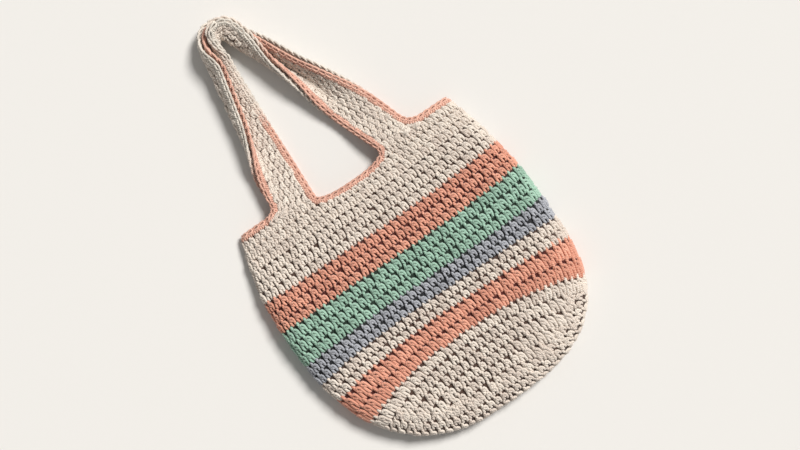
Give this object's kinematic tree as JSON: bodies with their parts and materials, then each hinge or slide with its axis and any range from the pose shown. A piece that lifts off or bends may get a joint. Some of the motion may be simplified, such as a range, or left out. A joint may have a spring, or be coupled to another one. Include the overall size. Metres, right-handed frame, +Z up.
{
  "type": "market bag",
  "caption": "Crocheted market bag lying flat: a striped tube of fabric with a round folded base, an open mouth and strap handles with chain edging, for carrying shopping.",
  "frame": {"origin": "middle of the bag's bounding box, on the surface the bag lies on", "axes": "+X across the bag, +Y from the base towards the handles, +Z up through the flat bag"},
  "size_m": [0.334, 0.5498, 0.0355],
  "materials": {
    "cream_yarn": "matt spun cotton",
    "coral_yarn": "matt spun cotton",
    "green_yarn": "matt spun cotton",
    "grey_yarn": "matt spun cotton"
  },
  "bodies": {
    "root": {"upper_body": "cream_yarn", "upper_coral_stripe": "coral_yarn", "green_stripe": "green_yarn", "grey_stripe": "grey_yarn", "cream_stripe": "cream_yarn", "lower_coral_stripe": "coral_yarn", "base": "cream_yarn", "front_handle": "cream_yarn", "back_handle": "cream_yarn", "mouth_edging": "coral_yarn", "front_hole_edging": "coral_yarn", "back_hole_edging": "coral_yarn"}
  },
  "joints": []
}
